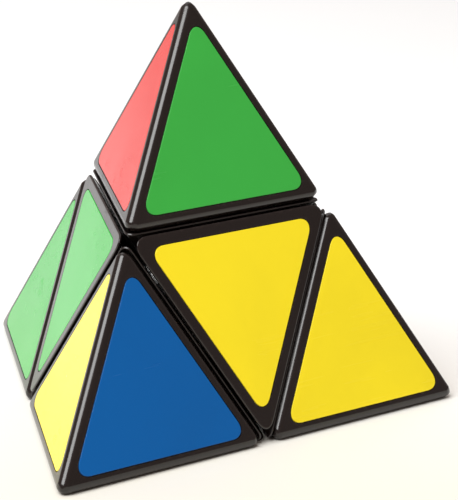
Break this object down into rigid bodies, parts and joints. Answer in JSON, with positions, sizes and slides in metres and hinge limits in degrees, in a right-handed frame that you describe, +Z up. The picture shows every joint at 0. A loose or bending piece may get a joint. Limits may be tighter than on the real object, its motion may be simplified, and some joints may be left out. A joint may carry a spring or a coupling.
{
  "type": "pyramid twisty puzzle",
  "caption": "Tetrahedral twisty puzzle: tips and face centres with coloured stickers turn about three crossed axes on a hidden ball core.",
  "frame": {"origin": "middle of the bottom face, on the surface it stands on", "axes": "+Z up through the top tip, +Y towards the back tip, -Y out through the front face, +X towards the right tip"},
  "size_m": [0.0766, 0.0666, 0.0629],
  "materials": {
    "black_shell": "glossy moulded ABS",
    "black_base": "semi-gloss moulded ABS",
    "black_mechanism": "satin moulded ABS",
    "white_core": "satin moulded plastic",
    "zinc_screw": "zinc plated",
    "steel_washer": "plain",
    "spring_steel": "drawn wire",
    "green_sticker": "glossy laminated vinyl",
    "blue_sticker": "glossy laminated vinyl",
    "yellow_sticker": "glossy laminated vinyl",
    "red_sticker": "glossy laminated vinyl"
  },
  "bodies": {
    "root": {"core": "white_core", "axis_screws": "zinc_screw", "axis_washers": "steel_washer", "axis_springs": "spring_steel", "cap_right_back": "black_mechanism", "cap_left_back": "black_mechanism", "cap_left_right": "black_mechanism", "inner_edge_back_bottom": "black_mechanism", "inner_edge_right_bottom": "black_mechanism", "inner_edge_left_bottom": "black_mechanism", "bottom_centre_shell": "black_shell", "bottom_centre_base": "black_base", "sticker_bottom_centre": "red_sticker"},
    "x_layer": {"left_corner_shell": "black_shell", "left_corner_base": "black_base", "sticker_left_left": "yellow_sticker", "sticker_left_bottom": "red_sticker", "sticker_left_front": "blue_sticker", "cap_top_left": "black_mechanism", "inner_edge_left_left": "black_mechanism", "inner_edge_left_front": "black_mechanism"},
    "y_layer": {"right_corner_shell": "black_shell", "right_corner_base": "black_base", "sticker_right_right": "red_sticker", "sticker_right_front": "yellow_sticker", "sticker_right_bottom": "green_sticker", "cap_top_right": "black_mechanism", "inner_edge_right_right": "black_mechanism", "inner_edge_right_front": "black_mechanism"},
    "z_layer": {"back_corner_shell": "black_shell", "back_corner_base": "black_base", "sticker_back_bottom": "blue_sticker", "sticker_back_left": "green_sticker", "sticker_back_right": "yellow_sticker", "cap_top_back": "black_mechanism", "inner_edge_back_right": "black_mechanism", "inner_edge_back_left": "black_mechanism"},
    "front_piece": {"front_centre_shell": "black_shell", "front_centre_base": "black_base", "sticker_front_centre": "yellow_sticker", "inner_edge_top_front": "black_mechanism"},
    "left_piece": {"left_centre_shell": "black_shell", "left_centre_base": "black_base", "sticker_left_centre": "green_sticker", "inner_edge_top_left": "black_mechanism"},
    "right_piece": {"right_centre_shell": "black_shell", "right_centre_base": "black_base", "sticker_right_centre": "blue_sticker", "inner_edge_top_right": "black_mechanism"},
    "top_piece": {"top_corner_shell": "black_shell", "top_corner_base": "black_base", "sticker_top_front": "green_sticker", "sticker_top_right": "blue_sticker", "sticker_top_left": "red_sticker"}
  },
  "joints": [
    {"name": "x_turn", "type": "hinge", "parent": "root", "child": "x_layer", "pos_m": [0, 0, 0.01633], "axis": [-0.7071, -0.4082, 0.5774], "continuous": true},
    {"name": "y_turn", "type": "hinge", "parent": "root", "child": "y_layer", "pos_m": [0, 0, 0.01633], "axis": [0.7071, -0.4082, 0.5774], "range_deg": [-360, 360]},
    {"name": "z_turn", "type": "hinge", "parent": "root", "child": "z_layer", "pos_m": [0, 0, 0.01633], "axis": [0, 0.8165, 0.5774], "range_deg": [-360, 360]},
    {"name": "front_piece_turn", "type": "hinge", "parent": "x_layer", "child": "front_piece", "pos_m": [0, 0, 0.01633], "axis": [0.7071, -0.4082, 0.5774], "range_deg": [-360, 360]},
    {"name": "left_piece_turn", "type": "hinge", "parent": "x_layer", "child": "left_piece", "pos_m": [0, 0, 0.01633], "axis": [0, 0.8165, 0.5774], "range_deg": [-360, 360]},
    {"name": "right_piece_turn", "type": "hinge", "parent": "y_layer", "child": "right_piece", "pos_m": [0, 0, 0.01633], "axis": [0, 0.8165, 0.5774], "range_deg": [-360, 360]},
    {"name": "top_piece_turn", "type": "hinge", "parent": "front_piece", "child": "top_piece", "pos_m": [0, 0, 0.01633], "axis": [0, 0.8165, 0.5774], "range_deg": [-360, 360]}
  ],
  "couplings": [
    {"joint": "front_piece_turn", "follows": "y_turn", "ratio": 1},
    {"joint": "left_piece_turn", "follows": "z_turn", "ratio": 1},
    {"joint": "right_piece_turn", "follows": "z_turn", "ratio": 1},
    {"joint": "top_piece_turn", "follows": "z_turn", "ratio": 1}
  ]
}
